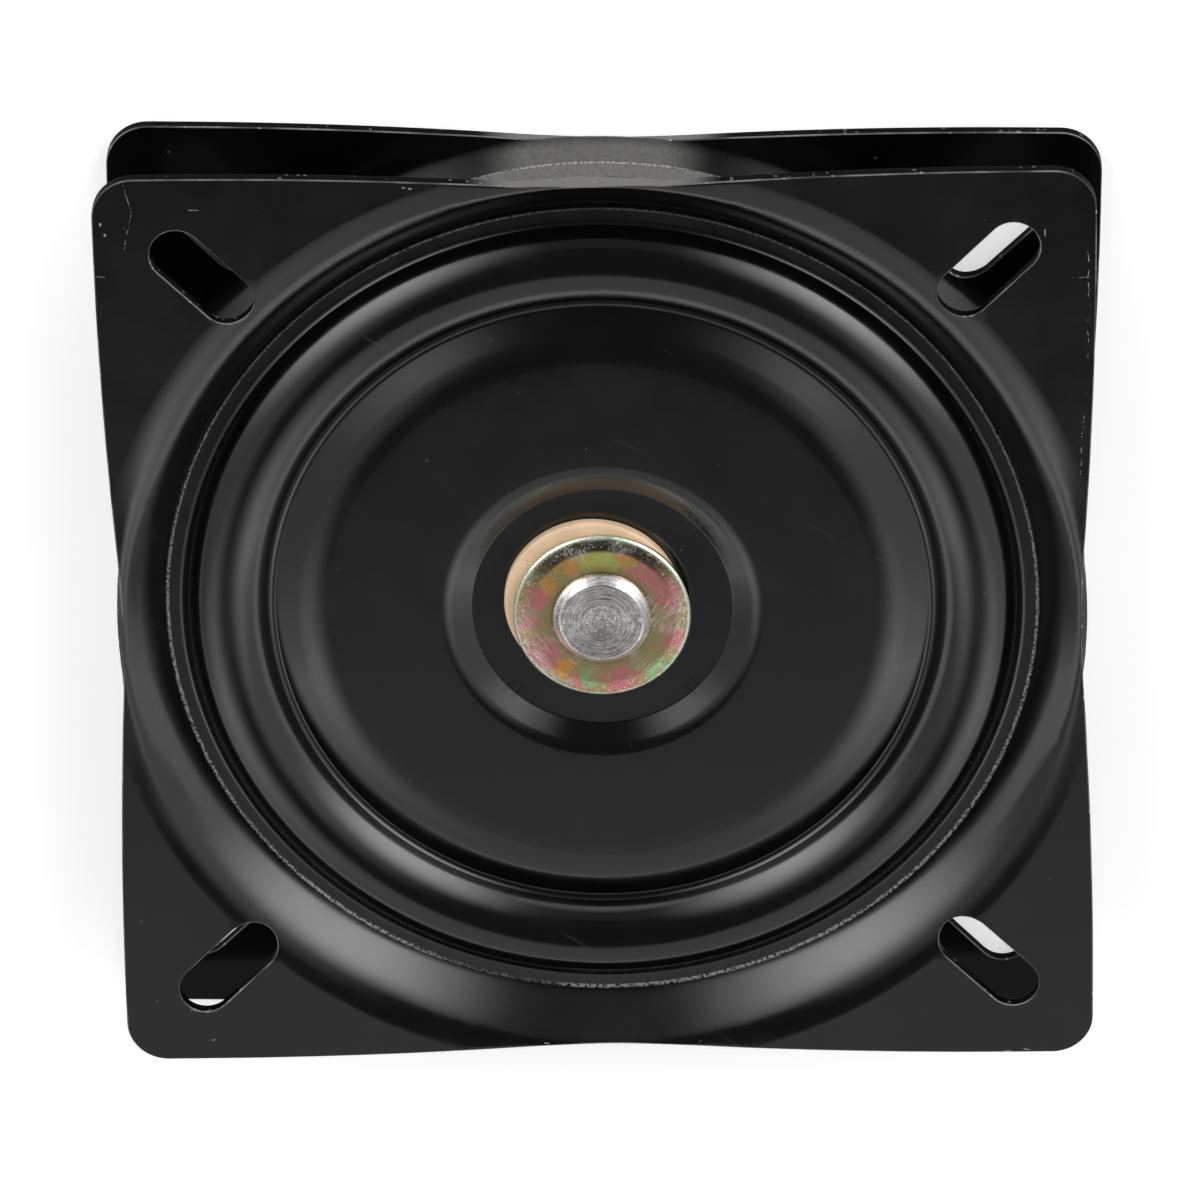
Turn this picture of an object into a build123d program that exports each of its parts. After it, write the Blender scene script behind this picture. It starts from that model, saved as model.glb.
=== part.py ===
from build123d import *
import os
from math import asin, cos, pi, radians, sin, sqrt

os.makedirs("parts", exist_ok=True)

# Boat seat swivel: two square pressed plates that turn on each other over a ring of steel balls.
# Lengths in millimetres, +Z up, the lower plate rests on z = 0, the pivot runs along Z.

# Plate outline
plate_side = 178.0
corner_radius = 7.5
edge_bow = 2.7
bow_turn_at = 15.0
bow_ends_at = 75.0
plate_turn_angle = 1.07

# Plate pressing, its bends given on the face turned to the seat
sheet = 2.5
stack_height = 22.5
floor_radius = 23.7
floor_fillet = 0.6
disc_rise = 2.4
shoulder_angle = 29.0
shoulder_fillet = 5.0
disc_edge_angle = 25.0
disc_edge_fillet = 14.0
valley_gap = 0.7
valley_fillet = 1.2
race_flank_angle = 58.0
race_foot_fillet = 1.5
race_to_crease = 10.7
crease_fillet = 0.5
crease_to_edge = 7.4
rim_wall_angle = 76.0
rim_wall_straight = 0.45

# Mounting slots
slot_spacing = 139.7
slot_width = 9.5
slot_length = 22.0
cut_margin = 5.0

# Ball bearing
ball_diameter = 11.1125
ball_spacing = 0.1
race_side_play = 0.16
race_clearance = 0.025

# Pivot
shank_diameter = 12.7
pivot_clearance = 0.08
fit_clearance = 0.05
factory_head_diameter = 24.0
factory_head_height = 3.0
factory_head_edge = 0.8
factory_head_fillet = 0.6
peened_head_diameter = 18.0
peened_top_diameter = 14.2
peened_head_height = 2.15
peened_side_fillet = 0.4
peened_top_fillet = 0.7
peen_dimple_diameter = 3.0
peen_dimple_depth = 0.35

# Washers
cover_washer_diameter = 32.2
cover_washer_thickness = 1.9
cover_washer_edge = 0.55
thrust_washer_diameter = 32.0
thrust_washer_bore = 18.4
thrust_washer_thickness = 2.5
thrust_washer_edge = 0.7
thrust_washer_shift = (-1.7, 2.0)
running_gap = 0.05
spacer_diameter = 34.0
spacer_thickness = 2.25
spacer_edge = 0.4

# Sizes that follow from the ones above
half_side = plate_side / 2
mid_height = stack_height / 2
floor_depth = mid_height - sheet - (spacer_thickness + running_gap) / 2
disc_depth = floor_depth - disc_rise
valley_depth = mid_height - sheet - valley_gap / 2
crease_radius = half_side - edge_bow - crease_to_edge
race_pitch_radius = crease_radius - race_to_crease
race_crown_depth = mid_height - ball_diameter / 2 - race_clearance - sheet
race_outer_radius = ball_diameter / 2 + race_side_play + sheet
rim_half_turn = radians(rim_wall_angle / 2)
rim_wall_length = valley_depth / sin(radians(rim_wall_angle))
rim_fillet = (rim_wall_length - rim_wall_straight) * cos(rim_half_turn) / sin(rim_half_turn) - crease_fillet
ball_count = int(pi / asin((ball_diameter + ball_spacing) / (2 * race_pitch_radius)))
floor_top = stack_height - floor_depth
lower_floor_top = floor_depth + sheet
plate_hole = shank_diameter + 2 * pivot_clearance
slot_reach = slot_spacing / 2
thrust_washer_base = floor_top + running_gap
cover_washer_base = thrust_washer_base + thrust_washer_thickness
peened_head_base = cover_washer_base + cover_washer_thickness


def save(part, name):
    part.label = name
    export_step(part, "parts/" + name + ".step")


def rise(run, slope):
    # Height gained over a level run at a slope in degrees.
    return run * sin(radians(slope)) / cos(radians(slope))


def press_line():
    # Corners of the face turned to the seat as a section, from the pivot hole out to beyond
    # the ears, which lie at height 0. The bend at each corner is negative where it is hollow.
    shoulder_run = (floor_depth - disc_depth) / rise(1.0, shoulder_angle)
    crown_corner = -race_crown_depth + race_outer_radius * (1 / cos(radians(race_flank_angle)) - 1)
    foot_reach = (crown_corner + valley_depth) / rise(1.0, race_flank_angle)
    # The inner valley is rounded, so its corner lies a little lower than the valley itself.
    turn_in = radians(disc_edge_angle)
    turn_out = radians(race_flank_angle)
    spread = sin(turn_in + turn_out)
    lift = (sin(turn_in) + sin(turn_out)) / spread - 1
    low_corner_z = -valley_depth - valley_fillet * lift
    low_corner_r = race_pitch_radius - (crown_corner - low_corner_z) / rise(1.0, race_flank_angle)
    disc_corner_r = low_corner_r - (-disc_depth - low_corner_z) / rise(1.0, disc_edge_angle)
    rim_corner_r = crease_radius + valley_depth / rise(1.0, rim_wall_angle)
    return [
        ((plate_hole / 2, -floor_depth), 0.0),
        ((floor_radius, -floor_depth), -floor_fillet),
        ((floor_radius + shoulder_run, -disc_depth), shoulder_fillet),
        ((disc_corner_r, -disc_depth), disc_edge_fillet),
        ((low_corner_r, low_corner_z), -valley_fillet),
        ((race_pitch_radius, crown_corner), race_outer_radius),
        ((race_pitch_radius + foot_reach, -valley_depth), -race_foot_fillet),
        ((crease_radius, -valley_depth), -crease_fillet),
        ((rim_corner_r, 0.0), rim_fillet),
        ((plate_side, 0.0), 0.0),
    ]


def other_face(points, depth):
    # The same section line moved square to itself by the sheet thickness.
    normals = []
    for (x0, z0), (x1, z1) in zip(points, points[1:]):
        length = sqrt((x1 - x0) ** 2 + (z1 - z0) ** 2)
        normals.append(((z1 - z0) / length, -(x1 - x0) / length))
    moved = [(points[0][0], points[0][1] - depth)]
    for (x, z), (ax, az), (bx, bz) in zip(points[1:-1], normals, normals[1:]):
        share = depth / (1 + ax * bx + az * bz)
        moved.append((x + share * (ax + bx), z + share * (az + bz)))
    moved.append((points[-1][0], points[-1][1] - depth))
    return moved


def pressed_sheet():
    line = press_line()
    outer = [point for point, bend in line]
    bends = [bend for point, bend in line[1:-1]]
    inner = other_face(outer, sheet)
    outer_bends = [abs(bend) for bend in bends]
    inner_bends = [bend - sheet if bend > 0 else -bend + sheet for bend in bends]
    ring = outer + inner[::-1]
    radii = [0.0] + outer_bends + [0.0, 0.0] + inner_bends[::-1] + [0.0]
    with BuildPart() as sheet_part:
        with BuildSketch(Plane.XZ):
            with BuildLine():
                FilletPolyline(*ring, radius=radii, close=True)
            make_face()
        revolve(axis=Axis.Z)
    return sheet_part.part


def outline():
    # A square with each side drawn in by the pressing: an arc in the middle that runs
    # out through two wider arcs of the other hand.
    steepest = 2 * edge_bow / bow_ends_at
    mid_arc = bow_turn_at / steepest
    side_arc = (bow_ends_at - bow_turn_at) / steepest
    with BuildSketch() as plan:
        Rectangle(plate_side, plate_side)
        fillet(plan.vertices(), corner_radius)
        for quarter in range(4):
            with BuildSketch(mode=Mode.PRIVATE) as bite:
                with BuildLine():
                    ends = [(sign * bow_ends_at, half_side) for sign in (-1, 1)]
                    turns = []
                    for sign in (-1, 1):
                        drop = (bow_ends_at - bow_turn_at) ** 2 / (2 * side_arc)
                        turns.append((sign * bow_turn_at, half_side - drop))
                    RadiusArc(ends[0], turns[0], side_arc)
                    RadiusArc(turns[0], turns[1], -mid_arc)
                    RadiusArc(turns[1], ends[1], side_arc)
                    Polyline(ends[1], (bow_ends_at, plate_side), (-bow_ends_at, plate_side), ends[0])
                make_face()
            add(bite.sketch.rotate(Axis.Z, 90 * quarter), mode=Mode.SUBTRACT)
    return plan.sketch


def plate():
    # The seat-side plate, its ears at z = 0 and its pressed middle below them.
    above = extrude(outline(), amount=cut_margin)
    blank = extrude(outline(), amount=-(valley_depth + sheet + cut_margin)) + above
    body = pressed_sheet() & blank
    slots = Sketch()
    for quarter in range(4):
        turn = 45 + 90 * quarter
        reach = slot_reach * sqrt(2)
        slots += Rot(0, 0, turn) * Pos(reach, 0) * SlotOverall(slot_length, slot_width)
    return body - extrude(slots, amount=sheet + cut_margin, both=True)


def washer(diameter, bore, thickness, edge):
    with BuildPart() as ring:
        Cylinder(diameter / 2, thickness, align=(Align.CENTER, Align.CENTER, Align.MIN))
        rims = ring.edges().filter_by(GeomType.CIRCLE)
        fillet(rims, edge)
        Cylinder(
            bore / 2,
            thickness,
            align=(Align.CENTER, Align.CENTER, Align.MIN),
            mode=Mode.SUBTRACT,
        )
    return ring.part


def rivet():
    # The shank with its factory head below and the head peened over the cover washer above.
    head_low = floor_depth - factory_head_height
    section = [
        (0, head_low),
        (factory_head_diameter / 2 - factory_head_edge, head_low),
        (factory_head_diameter / 2, head_low + factory_head_edge),
        (factory_head_diameter / 2, floor_depth),
        (shank_diameter / 2, floor_depth),
        (shank_diameter / 2, peened_head_base),
        (peened_head_diameter / 2, peened_head_base),
        (peened_top_diameter / 2, peened_head_base + peened_head_height),
        (0, peened_head_base + peened_head_height),
    ]
    bends = [0, factory_head_fillet, factory_head_fillet, 0, 0, 0]
    bends += [peened_side_fillet, peened_top_fillet, 0]
    with BuildPart() as pin:
        with BuildSketch(Plane.XZ):
            with BuildLine():
                FilletPolyline(*section, radius=bends, close=True)
            make_face()
        revolve(axis=Axis.Z)
        dimple_radius = peen_dimple_diameter / 2
        ball = (dimple_radius ** 2 + peen_dimple_depth ** 2) / (2 * peen_dimple_depth)
        top = peened_head_base + peened_head_height
        with Locations((0, 0, top + ball - peen_dimple_depth)):
            Sphere(ball, mode=Mode.SUBTRACT)
    return pin.part


upper = plate()
save(Pos(0, 0, stack_height) * upper, "top_plate")
lower = Rot(0, 0, -plate_turn_angle) * Rot(180, 0, 0) * upper
save(lower, "bottom_plate")

save(rivet(), "pivot_rivet")

cover_washer = washer(
    cover_washer_diameter,
    shank_diameter + 2 * fit_clearance,
    cover_washer_thickness,
    cover_washer_edge,
)
save(Pos(0, 0, cover_washer_base) * cover_washer, "cover_washer")

thrust_washer = washer(
    thrust_washer_diameter,
    thrust_washer_bore,
    thrust_washer_thickness,
    thrust_washer_edge,
)
shift_x, shift_y = thrust_washer_shift
save(Pos(shift_x, shift_y, thrust_washer_base) * thrust_washer, "thrust_washer")

spacer = washer(
    spacer_diameter,
    shank_diameter + 2 * fit_clearance,
    spacer_thickness,
    spacer_edge,
)
save(Pos(0, 0, lower_floor_top) * spacer, "floor_spacer")

for index in range(ball_count):
    ball = Rot(0, 0, 360 / ball_count * index) * Pos(race_pitch_radius, 0, mid_height)
    save(ball * Sphere(ball_diameter / 2), "race_ball_%02d" % (index + 1))
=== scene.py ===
from math import acos, asin, atan, ceil, cos, degrees, hypot, pi, radians, sin, sqrt, tan
import bmesh
import bpy
from mathutils import Matrix, Vector, noise


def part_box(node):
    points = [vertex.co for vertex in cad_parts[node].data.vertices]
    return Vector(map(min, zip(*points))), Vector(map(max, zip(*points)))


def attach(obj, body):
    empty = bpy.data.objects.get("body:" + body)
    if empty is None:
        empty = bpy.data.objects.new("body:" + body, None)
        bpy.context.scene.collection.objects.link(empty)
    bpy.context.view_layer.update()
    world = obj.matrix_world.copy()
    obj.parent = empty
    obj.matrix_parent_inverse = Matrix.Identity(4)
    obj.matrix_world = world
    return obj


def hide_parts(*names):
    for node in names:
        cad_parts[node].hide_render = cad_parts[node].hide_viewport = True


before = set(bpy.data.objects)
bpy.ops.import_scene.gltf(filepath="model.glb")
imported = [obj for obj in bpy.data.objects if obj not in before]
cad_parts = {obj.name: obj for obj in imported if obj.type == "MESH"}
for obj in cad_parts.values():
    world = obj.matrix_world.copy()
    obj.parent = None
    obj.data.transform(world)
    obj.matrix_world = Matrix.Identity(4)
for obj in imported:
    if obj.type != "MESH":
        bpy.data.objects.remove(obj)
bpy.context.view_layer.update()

bl_info = {
    "name": "Seat Swivel",
    "version": (1, 0, 0),
    "blender": (4, 5, 0),
    "location": "View3D > Sidebar > Swivel",
    "description": "Dresses the two pressed plates, the pivot and the ball ring of a seat swivel",
    "category": "Object",
}

MM = 0.001
PLATE_LOW, PLATE_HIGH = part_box("top_plate")
TOP_FACE = PLATE_HIGH.z
HALF_SIDE = (PLATE_HIGH.x - PLATE_LOW.x) / 2
LOWER_PLATE_TURN = radians(-1.07)

# Section of the pressing on the face turned to the seat, in millimetres: distance from the
# pivot, height over the ears, and the radius of the bend there, negative where it is hollow.
PRESSING = (
    (6.43, -7.6, 0.0),
    (23.7, -7.6, -0.6),
    (28.0297, -5.2, 5.0),
    (52.5832, -5.2, 14.0),
    (60.1667, -8.7363, -1.2),
    (68.2, 4.1197, 8.2163),
    (76.0232, -8.4, -1.5),
    (78.9, -8.4, -0.5),
    (86.871, 0.0, 3.0),
    (100.0, 0.0, 0.0),
)

# The wall outside the crease is a cone. At the middle of each side it runs on to the cut edge,
# and towards the corners it bends over softly into the flat ears.
WALL_ANGLE = radians(46.5)
SIDE_BEND = 2.0 * MM
CORNER_BEND = 11.5 * MM
BEND_GROWS = (radians(7), radians(30))
EAR_BLEND_FROM = 90.3 * MM
EAR_RING = 91.8 * MM

# Rows and spokes of the wall's mesh; the rows start inside the bend on each face.
WALL_ROWS_FROM = (79.6 * MM, 81.3 * MM)
WALL_ROWS = 16
SIDE_SPOKES = 22
EAR_SPOKES = 22
SLOT_SPOKES = 14

# How far the cut edge of a side leans out below, as a share of a cut square to the sheet.
EDGE_LEAN = 0.8

# Where the coat is painted brighter: the crease, rubbed and with a painted glint, and a thin
# painted highlight arc on the wall at the middle of each side.
CREASE_RADIUS = 78.86 * MM
HIGHLIGHT_ARC_RADIUS = 84.3 * MM

# Outline of the plate: how far each side is drawn in, and where its arcs meet.
SIDE_DRAWN_IN = 2.4 * MM
MIDDLE_ARC_ENDS = 15.0 * MM
SIDE_ARC_ENDS = 75.0 * MM
CORNER_RADIUS = 7.5 * MM

# Mounting slots on the diagonals.
SLOT_REACH = 139.7 / 2 * sqrt(2) * MM
SLOT_HALF_WIDTH = 4.75 * MM
SLOT_HALF_LENGTH = 11.0 * MM
SLOT_INNER = SLOT_REACH - SLOT_HALF_LENGTH + SLOT_HALF_WIDTH

# Material slots of a plate after its coat: cut edges, their corners, and the drawn-in sides.
RIM, RUBBED_RIM, DRAWN_RIM = 1, 2, 3


# -------- settings

class PlateSettings(bpy.types.PropertyGroup):
    sheet: bpy.props.FloatProperty(
        name="Sheet", description="Thickness of the pressed sheet",
        default=2.5 * MM, min=0.5 * MM, unit="LENGTH", precision=5)
    rim_round: bpy.props.FloatProperty(
        name="Rim rounding", description="Rounding of the sheared rims and slot edges",
        default=0.22 * MM, min=0.01 * MM, unit="LENGTH", precision=5)
    coat_color: bpy.props.FloatVectorProperty(
        name="Coat", description="Colour of the black coat", subtype="COLOR",
        size=4, min=0.0, max=1.0, default=(0.0018, 0.0018, 0.002, 1.0))
    worn_color: bpy.props.FloatVectorProperty(
        name="Worn metal", description="Colour where the coat is rubbed through", subtype="COLOR",
        size=4, min=0.0, max=1.0, default=(0.42, 0.41, 0.40, 1.0))
    coat_roughness: bpy.props.FloatProperty(
        name="Coat roughness", description="Roughness of the black coat",
        default=0.15, min=0.0, max=1.0, subtype="FACTOR")
    rim_wear: bpy.props.FloatProperty(
        name="Rim wear", description="Share of the rims where metal shows through the coat",
        default=0.3, min=0.0, max=1.0, subtype="FACTOR")


class PivotSettings(bpy.types.PropertyGroup):
    steel_color: bpy.props.FloatVectorProperty(
        name="Rivet steel", description="Colour of the bare peened steel", subtype="COLOR",
        size=4, min=0.0, max=1.0, default=(0.80, 0.785, 0.765, 1.0))
    zinc_gold: bpy.props.FloatVectorProperty(
        name="Zinc gold", description="Main tint of the yellow zinc plating", subtype="COLOR",
        size=4, min=0.0, max=1.0, default=(0.52, 0.42, 0.19, 1.0))
    zinc_pink: bpy.props.FloatVectorProperty(
        name="Zinc pink", description="Pink patches of the zinc plating", subtype="COLOR",
        size=4, min=0.0, max=1.0, default=(0.86, 0.27, 0.30, 1.0))
    zinc_green: bpy.props.FloatVectorProperty(
        name="Zinc green", description="Green patches of the zinc plating", subtype="COLOR",
        size=4, min=0.0, max=1.0, default=(0.40, 0.68, 0.32, 1.0))
    zinc_orange: bpy.props.FloatVectorProperty(
        name="Zinc orange", description="Orange patches of the zinc plating", subtype="COLOR",
        size=4, min=0.0, max=1.0, default=(0.95, 0.46, 0.12, 1.0))
    zinc_yellow: bpy.props.FloatVectorProperty(
        name="Zinc yellow", description="Yellow patches of the zinc plating", subtype="COLOR",
        size=4, min=0.0, max=1.0, default=(0.74, 0.76, 0.20, 1.0))
    nylon_color: bpy.props.FloatVectorProperty(
        name="Nylon", description="Colour of the nylon washers", subtype="COLOR",
        size=4, min=0.0, max=1.0, default=(0.84, 0.60, 0.39, 1.0))
    hammer_depth: bpy.props.FloatProperty(
        name="Hammer depth", description="Depth of the marks left by peening the head",
        default=0.05 * MM, min=0.0, unit="LENGTH", precision=6)


class StageSettings(bpy.types.PropertyGroup):
    floor_color: bpy.props.FloatVectorProperty(
        name="Floor", description="Colour of the plain floor", subtype="COLOR",
        size=4, min=0.0, max=1.0, default=(0.82, 0.82, 0.82, 1.0))
    light_level: bpy.props.FloatProperty(
        name="Light level", description="Brightness of all the soft panels round the object",
        default=1.0, min=0.0)
    ceiling_level: bpy.props.FloatProperty(
        name="Ceiling level", description="Brightness of the dark ceiling between the panels",
        default=0.058, min=0.0)


# -------- node helpers

class Net:
    """The nodes of one tree. Each call adds a node, wires what it is given to it, be that a
    socket or a plain value, and gives back the socket with the result."""

    def __init__(self, tree, material=None):
        self.tree, self.material = tree, material
        self.shader = tree.nodes["Principled BSDF"].inputs if material else None

    def fill(self, socket, value):
        if isinstance(value, bpy.types.NodeSocket):
            self.tree.links.new(value, socket)
        else:
            socket.default_value = value

    def node(self, kind, inputs, **settings):
        made = self.tree.nodes.new("ShaderNode" + kind)
        for key, value in settings.items():
            setattr(made, key, value)
        for key, value in inputs.items():
            self.fill(made.inputs[key], value)
        return made.outputs

    def use(self, effect, vector, **inputs):
        return self.node("Group", {"Vector": vector, **inputs}, node_tree=effect())[0]

    def place(self):
        return self.node("TexCoord", {})["Object"]

    def parts(self, vector):
        return self.node("SeparateXYZ", {"Vector": vector})

    def joined(self, *parts):
        return self.node("CombineXYZ", dict(enumerate(parts)))[0]

    def calc(self, operation, *values, clamp=False):
        return self.node("Math", dict(enumerate(values)), operation=operation, use_clamp=clamp)[0]

    def chain(self, operation, first, *others):
        for other in others:
            first = self.calc(operation, first, other)
        return first

    def times(self, *values):
        return self.chain("MULTIPLY", *values)

    def plus(self, *values):
        return self.chain("ADD", *values)

    def most(self, *values):
        return self.chain("MAXIMUM", *values)

    def less(self, value, taken):
        return self.calc("SUBTRACT", value, taken)

    def vector(self, operation, *values, result="Vector"):
        return self.node("VectorMath", dict(enumerate(values)), operation=operation)[result]

    def scaled(self, vector, factor):
        return self.node("VectorMath", {0: vector, "Scale": factor}, operation="SCALE")["Vector"]

    def radius(self, point):
        """Distance of a point from the swivel axis."""
        flat = self.vector("MULTIPLY", point, (1.0, 1.0, 0.0))
        return self.vector("LENGTH", flat, result="Value")

    def ease(self, value, low, high, start=0.0, end=1.0):
        """A soft step from start to end while value runs from low to high."""
        inputs = {"Value": value, "From Min": low, "From Max": high, "To Min": start, "To Max": end}
        return self.node("MapRange", inputs, interpolation_type="SMOOTHSTEP")["Result"]

    def fade(self, value, low, high, start=1.0):
        return self.ease(value, low, high, start, 0.0)

    def near(self, value, middle, whole, none):
        """1 where value is within whole of the middle, 0 where it is further off than none."""
        return self.fade(self.calc("ABSOLUTE", self.less(value, middle)), whole, none)

    def blend(self, share, first, second):
        return self.node("Mix", {0: share, 6: first, 7: second}, data_type="RGBA")[2]

    def layers(self, color, *layers):
        """A colour with others laid over it in turn, each given as (share, colour)."""
        for share, over in layers:
            color = self.blend(share, color, over)
        return color

    def grain(self, vector, scale, detail=2.0, roughness=0.5, result="Fac"):
        return self.node("TexNoise", {"Vector": vector, "Scale": scale, "Detail": detail,
                                      "Roughness": roughness})[result]

    def sway(self, vector, scale, detail=2.0, roughness=0.5):
        """A vector that wanders to all sides of zero."""
        drift = self.grain(vector, scale, detail, roughness, "Color")
        return self.vector("SUBTRACT", drift, (0.5, 0.5, 0.5))


# -------- shared effects

def effect(name, gives, **takes):
    """Turns a function that wires a node group into one that makes the group at its first use
    and shares it after that. Its inputs are the point on the surface, and takes with their
    defaults, None for a vector."""
    def wrap(wire):
        def shared():
            if name in bpy.data.node_groups:
                return bpy.data.node_groups[name]
            tree = bpy.data.node_groups.new(name, "ShaderNodeTree")
            for label, value in ("Vector", None), *takes.items():
                kind = "NodeSocketVector" if value is None else "NodeSocketFloat"
                socket = tree.interface.new_socket(label, in_out="INPUT", socket_type=kind)
                if value is not None:
                    socket.default_value = value
            tree.interface.new_socket(gives, in_out="OUTPUT", socket_type="NodeSocketFloat")
            given = tree.nodes.new("NodeGroupInput").outputs
            end = tree.nodes.new("NodeGroupOutput").inputs[gives]
            net = Net(tree)
            net.fill(end, wire(net, given["Vector"], given))
            return tree
        return shared
    return wrap


@effect("Orange Peel", "Height", Scale=600.0, Waves=0.35)
def orange_peel(net, at, given):
    """The faint waviness of a sprayed or dipped coat."""
    fine = net.grain(at, given["Scale"])
    broad = net.grain(at, net.times(given["Scale"], 0.16), 1.0)
    return net.plus(fine, net.times(broad, given["Waves"]))


@effect("Fine Scratches", "Mask", Scale=900.0, Heading=0.0, Coverage=0.2, Shortness=0.035)
def fine_scratches(net, at, given):
    """Thin rubbed lines, mostly one way."""
    bend = net.scaled(net.grain(at, 60.0, 1.0, result="Color"), 0.0012)
    turned = net.node("VectorRotate", {
        "Vector": net.vector("ADD", at, bend), "Angle": given["Heading"]},
        rotation_type="Z_AXIS")[0]
    along = net.joined(given["Shortness"], 1.0, 1.0)
    lines = net.grain(net.vector("MULTIPLY", turned, along), given["Scale"], 2.0, 0.6)
    high = net.less(0.80, net.times(given["Coverage"], 0.3))
    mask = net.ease(lines, net.less(high, 0.07), high)
    return net.times(mask, net.ease(net.grain(at, 130.0), 0.45, 0.62))


@effect("Specks", "Mask", Scale=500.0, Share=0.1, Size=0.25)
def specks(net, at, given):
    """Scattered small grains, such as dust, nibs in a coat or pits."""
    cells = net.node("TexVoronoi", {"Vector": at, "Scale": given["Scale"]})
    pick = net.node("SeparateColor", {"Color": cells["Color"]})
    chosen = net.calc("LESS_THAN", pick[0], given["Share"])
    reach = net.times(pick[1], given["Size"])
    return net.times(chosen, net.fade(cells["Distance"], net.times(reach, 0.6), reach))


@effect("Rim Rub", "Mask", Scale=700.0, Amount=0.3)
def rim_rub(net, at, given):
    """Broken patches where a rim has lost its coat."""
    fine = net.times(net.grain(at, given["Scale"], 4.0, 0.65), 0.6)
    broad = net.times(net.grain(at, 45.0), 0.4)
    low = net.less(0.68, net.times(given["Amount"], 0.3))
    return net.ease(net.plus(fine, broad), low, net.plus(low, 0.07))


@effect("Single Mark", "Mask", From=None, To=None, Width=0.0002, Ragged=0.5, Sway=None,
        Crumble=0.5)
def single_mark(net, at, given):
    """One scratch or chip from a point to another, ragged along its length."""
    sway = net.scaled(given["Sway"], net.times(given["Width"], 4.0))
    point = net.vector("ADD", at, sway)
    along = net.vector("SUBTRACT", given["To"], given["From"])
    reach = net.vector("SUBTRACT", point, given["From"])
    top = net.vector("DOT_PRODUCT", reach, along, result="Value")
    bottom = net.vector("DOT_PRODUCT", along, along, result="Value")
    nearest = net.scaled(along, net.calc("DIVIDE", top, bottom, clamp=True))
    gap = net.vector("DISTANCE", reach, nearest, result="Value")
    cut = net.times(given["Crumble"], given["Ragged"], 1.7)
    width = net.most(net.times(given["Width"], net.less(1.0, cut)), 1e-6)
    return net.fade(gap, net.times(width, 0.5), width)


@effect("Ring Marks", "Height", Spacing=0.0003, Wobble=0.0002)
def ring_marks(net, at, given):
    """Fine rings round the swivel axis, as turning or rolling tools leave them."""
    sway = net.times(net.grain(at, 160.0), given["Wobble"])
    lane = net.calc("DIVIDE", net.plus(net.radius(at), sway), given["Spacing"])
    parts = net.parts(net.scaled(at, 190.0))
    return net.grain(net.joined(lane, parts["X"], parts["Y"]), 1.0, 3.0, 0.6)


# -------- materials

def fresh_material(name):
    """The nodes of a new material."""
    made = bpy.data.materials.get(name)
    if made:
        bpy.data.materials.remove(made)
    made = bpy.data.materials.new(name)
    made.use_nodes = True
    return Net(made.node_tree, made)


def finish(net, color, rough, height, distance, metal=0.0):
    """Gives a material's shader what varies over its surface, and hands the material back."""
    relief = net.node("Bump", {"Height": height, "Distance": distance, "Strength": 1.0})
    for key, value in (("Base Color", color), ("Roughness", rough), ("Metallic", metal),
                       ("Normal", relief["Normal"])):
        net.fill(net.shader[key], value)
    return net.material


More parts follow.
